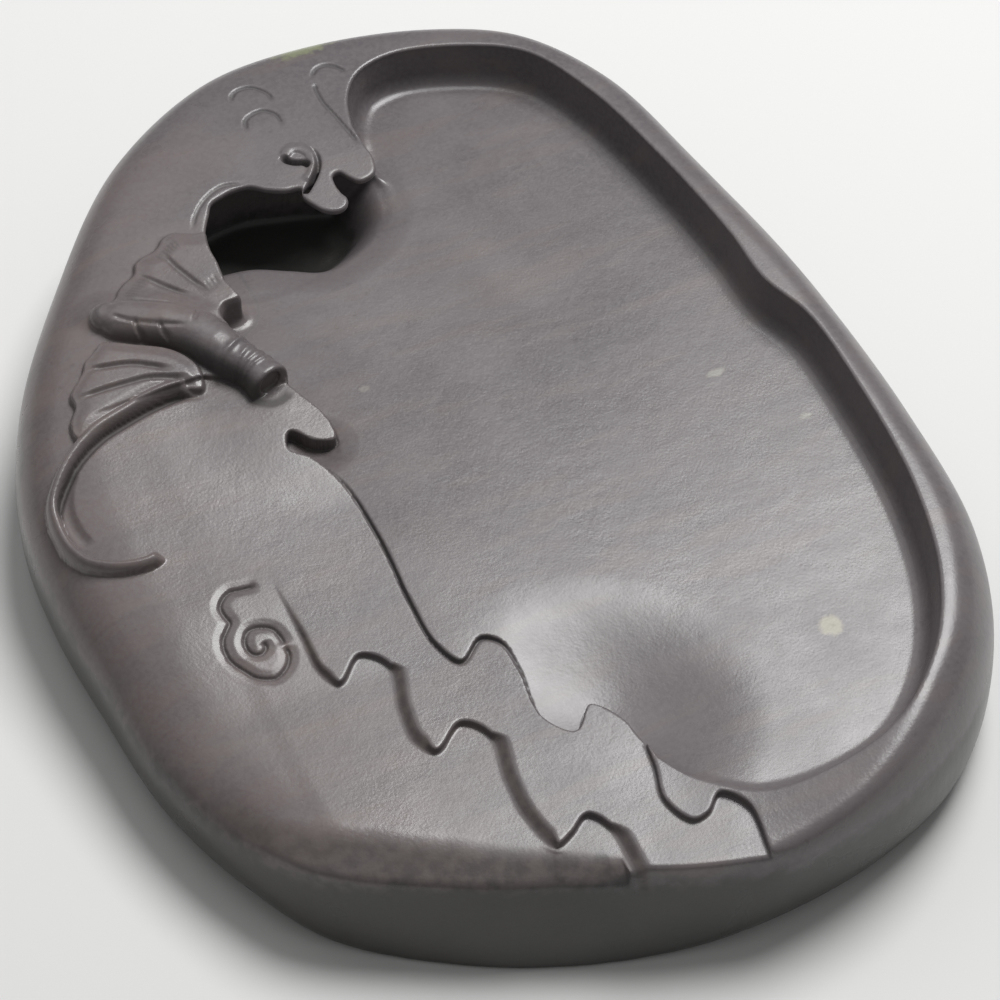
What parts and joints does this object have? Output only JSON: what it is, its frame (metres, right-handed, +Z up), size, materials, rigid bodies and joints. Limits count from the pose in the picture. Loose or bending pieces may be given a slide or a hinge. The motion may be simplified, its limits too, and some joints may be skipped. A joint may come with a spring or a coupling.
{
  "type": "ink stone",
  "caption": "Oval slate ink stone with a sunken grinding pool, a deep ink well under a carved cloud lip, stepped wavy ledges and low bat and scroll relief.",
  "frame": {"origin": "middle of the flat underside", "axes": "+Y along the stone's length to the ink well end, +X to the raised rim side, +Z up"},
  "size_m": [0.1504, 0.2008, 0.0296],
  "materials": {
    "slate": "honed, satin"
  },
  "bodies": {
    "root": {"inkstone": "slate"}
  },
  "joints": []
}
